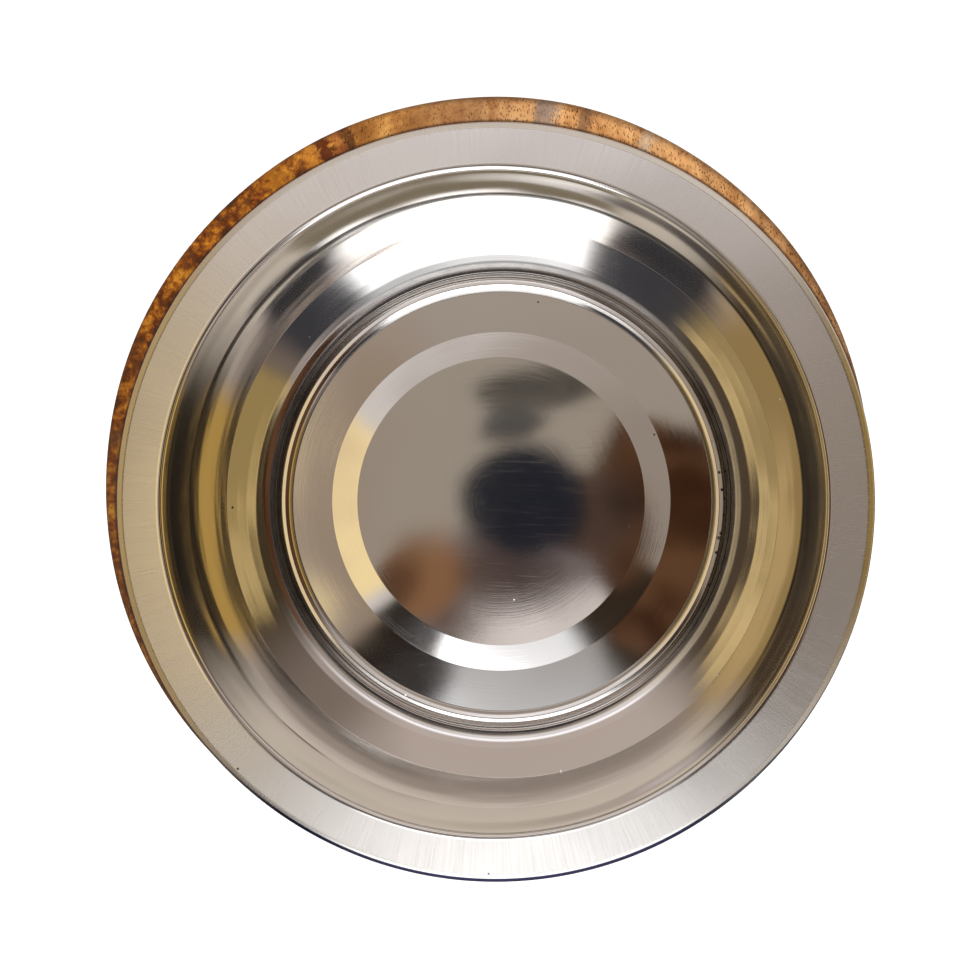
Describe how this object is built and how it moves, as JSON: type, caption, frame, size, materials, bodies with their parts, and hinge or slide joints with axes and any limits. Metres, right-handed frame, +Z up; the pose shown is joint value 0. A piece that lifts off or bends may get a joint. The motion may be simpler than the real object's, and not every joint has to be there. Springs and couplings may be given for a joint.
{
  "type": "baptismal font",
  "caption": "Turned-wood pedestal font with a round flanged stainless basin that rests on the rim of its housing and lifts out.",
  "frame": {"origin": "on the floor under the centre of the plinth", "axes": "+Z up; +Y away from the person who reads the picture's lower edge as near; +X to the right"},
  "size_m": [0.4, 0.4, 0.9],
  "materials": {
    "stainless_steel": "spun stainless sheet, satin flange, polished bowl with fine scratches",
    "turned_wood": "turned hardwood, amber to brown with dark figure and fine pores, oiled satin",
    "dowel_wood": "plain beech dowel",
    "zinc_plated_steel": "zinc plated, dull",
    "rubber": "matt black rubber"
  },
  "bodies": {
    "stand": {"bowl_housing": "turned_wood", "bowl_collar": "turned_wood", "column_upper": "turned_wood", "column_knop": "turned_wood", "column_lower": "turned_wood", "base_moulding": "turned_wood", "base_plinth": "turned_wood", "tie_rod": "zinc_plated_steel", "top_nut": "zinc_plated_steel", "top_washer": "zinc_plated_steel", "bottom_nut": "zinc_plated_steel", "bottom_washer": "zinc_plated_steel", "collar_dowel_1": "dowel_wood", "collar_dowel_2": "dowel_wood", "collar_dowel_3": "dowel_wood", "base_dowel_1": "dowel_wood", "base_dowel_2": "dowel_wood", "base_dowel_3": "dowel_wood", "foot_1": "rubber", "foot_2": "rubber", "foot_3": "rubber", "foot_4": "rubber", "foot_screw_1": "zinc_plated_steel", "foot_screw_2": "zinc_plated_steel", "foot_screw_3": "zinc_plated_steel", "foot_screw_4": "zinc_plated_steel"},
    "basin": {"basin": "stainless_steel"}
  },
  "joints": [
    {"name": "basin_lift", "type": "slide", "parent": "stand", "child": "basin", "axis": [0, 0, 1], "range_m": [0, 0.15]}
  ]
}
